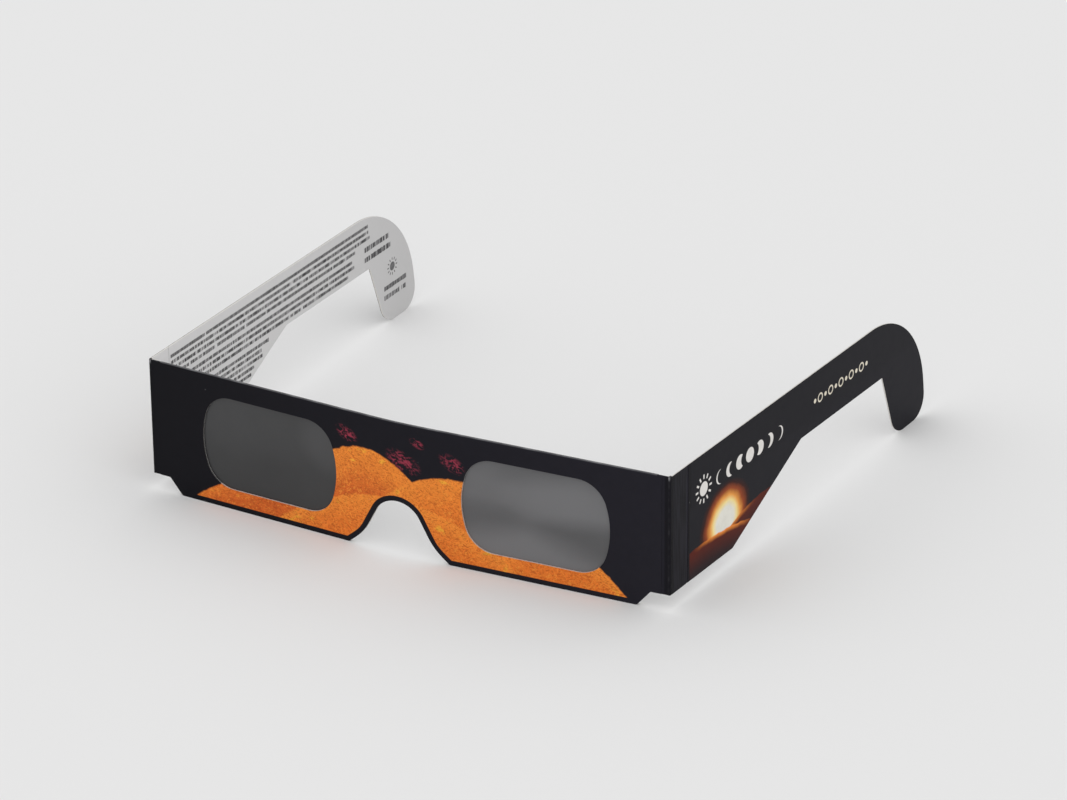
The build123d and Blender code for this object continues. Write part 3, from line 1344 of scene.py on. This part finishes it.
@dataclass(frozen=True)
class Studio:
    """The plain table, the soft light and the camera at the photograph's angle.

    Attributes:
        pale: The colour of the table and of what is behind it.
        sky: The strength of the light from all round.
        lamps: The soft lamps.
        table_size: The width of the table in metres.
        table_grain: The table's faint clouds.
        table_roughness: How dull it is.
        table_relief: The depth of those clouds.
        camera_place: Where the camera stands.
        camera_heading: How far its view is turned to the right of straight back, in degrees.
        camera_dip: How far it looks down, in degrees.
        camera_roll: How far it is tipped to its right, in degrees.
        lens: The focal length.
        sensor: The width of the sensor.
    """

    pale: Colour = ink(229, 229, 229)
    sky: float = 0.885
    lamps: tuple[Lamp, ...] = (
        Lamp("key_lamp", 0.38, 40.0, 60.0, 90.0), Lamp("fill_lamp", 0.14, -45.0, 40.0, 100.0))
    table_size: float = 12.0
    table_grain: Grain = Grain(900.0)
    table_roughness: float = 0.9
    table_relief: float = 0.05
    camera_place: tuple[float, float, float] = (502.576, -922.224, 515.635)
    camera_heading: float = -28.684
    camera_dip: float = 25.521
    camera_roll: float = 0.732
    lens: float = 161.04
    sensor: float = 36.0

    def lay_table(self) -> None:
        """Lays the pale table top."""
        clear_selection()
        bpy.ops.mesh.primitive_grid_add(x_subdivisions=8, y_subdivisions=8, size=self.table_size)
        table = bpy.context.object
        table.name = "table_top"
        shading = Shading("pale_table")
        faint = shading.grain(self.table_grain)
        colour = shading.shaded(self.pale, 0.995 + faint * 0.01)
        table.data.materials.append(
            shading.surface(colour, self.table_roughness, faint, self.table_relief, gloss=0.0))

    def fill_sky(self) -> None:
        """Lights the scene evenly from all round, with the pale colour behind it."""
        world = bpy.data.worlds.new("soft_room")
        bpy.context.scene.world = world
        nodes = Nodes(world)
        even = {"Color": (1.0, 1.0, 1.0, 1.0), "Strength": self.sky}
        light = nodes.node("ShaderNodeBackground", None, even)
        seen = nodes.node("ShaderNodeBackground", None, {"Color": self.pale})
        path = nodes.node("ShaderNodeLightPath")
        both = nodes.node("ShaderNodeMixShader", None,
                          {0: path.outputs["Is Camera Ray"], 1: light.outputs[0], 2: seen.outputs[0]})
        nodes.node("ShaderNodeOutputWorld", None, {0: both.outputs[0]})

    def set_camera(self) -> None:
        """Sets up the camera."""
        data = bpy.data.cameras.new("photo_camera")
        data.lens, data.sensor_width = self.lens, self.sensor
        data.clip_start = 0.01
        camera = bpy.data.objects.new("photo_camera", data)
        heading, dip = math.radians(self.camera_heading), math.radians(self.camera_dip)
        ahead = Vector((math.sin(heading) * math.cos(dip), math.cos(heading) * math.cos(dip), -math.sin(dip)))
        level = ahead.to_track_quat("-Z", "Y").to_matrix()
        turned = level @ Matrix.Rotation(math.radians(-self.camera_roll), 3, "Z")
        camera.matrix_world = Matrix.Translation(Vector(self.camera_place) / METRE) @ turned.to_4x4()
        bpy.context.scene.collection.objects.link(camera)
        bpy.context.scene.camera = camera

    def build(self) -> None:
        """Makes the whole studio."""
        self.lay_table()
        self.fill_sky()
        for lamp in self.lamps:
            lamp.light()
        self.set_camera()
        bpy.context.scene.view_settings.view_transform = "Standard"


def wear(material: bpy.types.Material, *nodes: str) -> None:
    """Puts a material in the slots of some of the model's pieces.

    Args:
        material: The material.
        nodes: The names of the pieces.
    """
    for name in nodes:
        mesh = frame["nodes"][name].data
        if not mesh.materials:
            mesh.materials.append(material)
        for number in range(len(mesh.materials)):
            mesh.materials[number] = material
        log.info("%s wears %s", name, material.name)


def clear_selection() -> None:
    """Deselects everything, so that the next operator acts on its own piece alone."""
    bpy.ops.object.select_all(action="DESELECT")


def add_modifier(piece: bpy.types.Object, kind: str, **settings: Any) -> None:
    """Adds a modifier to the active piece and applies it.

    Args:
        piece: The piece.
        kind: The modifier's type.
        settings: The modifier's own properties.
    """
    modifier = piece.modifiers.new(kind.lower(), kind)
    for name, value in settings.items():
        setattr(modifier, name, value)
    bpy.ops.object.modifier_apply(modifier=modifier.name)


def faces_outward(piece: bpy.types.Object) -> None:
    """Turns every face of a piece outward.

    Args:
        piece: The piece, which is active and selected; not used, as the operators act on the active piece.
    """
    bpy.ops.object.mode_set(mode="EDIT")
    bpy.ops.mesh.select_all(action="SELECT")
    bpy.ops.mesh.normals_make_consistent(inside=False)
    bpy.ops.object.mode_set(mode="OBJECT")


def main() -> None:
    """Dresses the glasses and sets up the studio."""
    logging.basicConfig(level=logging.INFO, format="%(message)s")
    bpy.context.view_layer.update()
    Front().dress()
    for side in Side:
        Temple(side).dress()
    Films().build()
    Studio().build()


if __name__ == "__main__":
    main()
